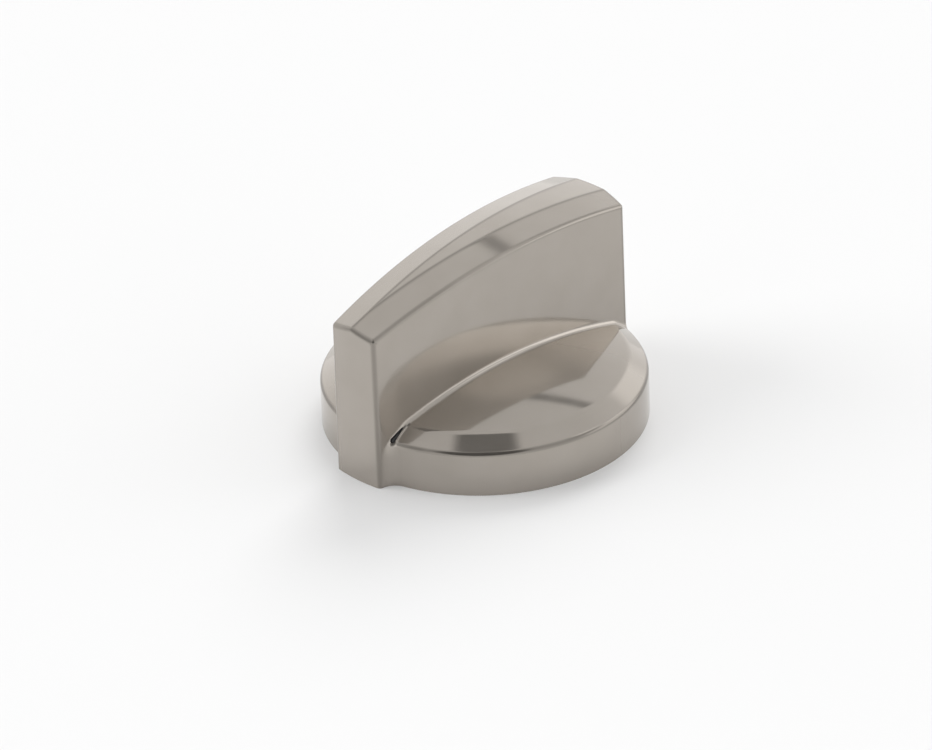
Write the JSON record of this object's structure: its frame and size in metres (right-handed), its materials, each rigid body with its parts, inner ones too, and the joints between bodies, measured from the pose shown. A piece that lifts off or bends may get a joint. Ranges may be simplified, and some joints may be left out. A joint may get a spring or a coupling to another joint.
{
  "type": "oven control knob",
  "caption": "Push-on oven control knob: domed round skirt with a wedge grip whose narrow end points past the rim, hollow beneath, with a keyed hub and leaf spring for a D shaft.",
  "frame": {"origin": "centre of the shaft bore's mouth, on the plane of the skirt's rim", "axes": "+Z along the shaft axis, out of the panel; -Y towards the pointing end of the grip; +X across the grip"},
  "size_m": [0.0502, 0.0525, 0.0309],
  "materials": {
    "satin_nickel": "satin nickel plating on a zinc die casting",
    "hub_nylon": "moulded black nylon, fine matt texture",
    "spring_steel": "bright rolled strip"
  },
  "bodies": {
    "root": {"knob_body": "satin_nickel", "shaft_hub": "hub_nylon", "shaft_spring": "spring_steel"}
  },
  "joints": []
}
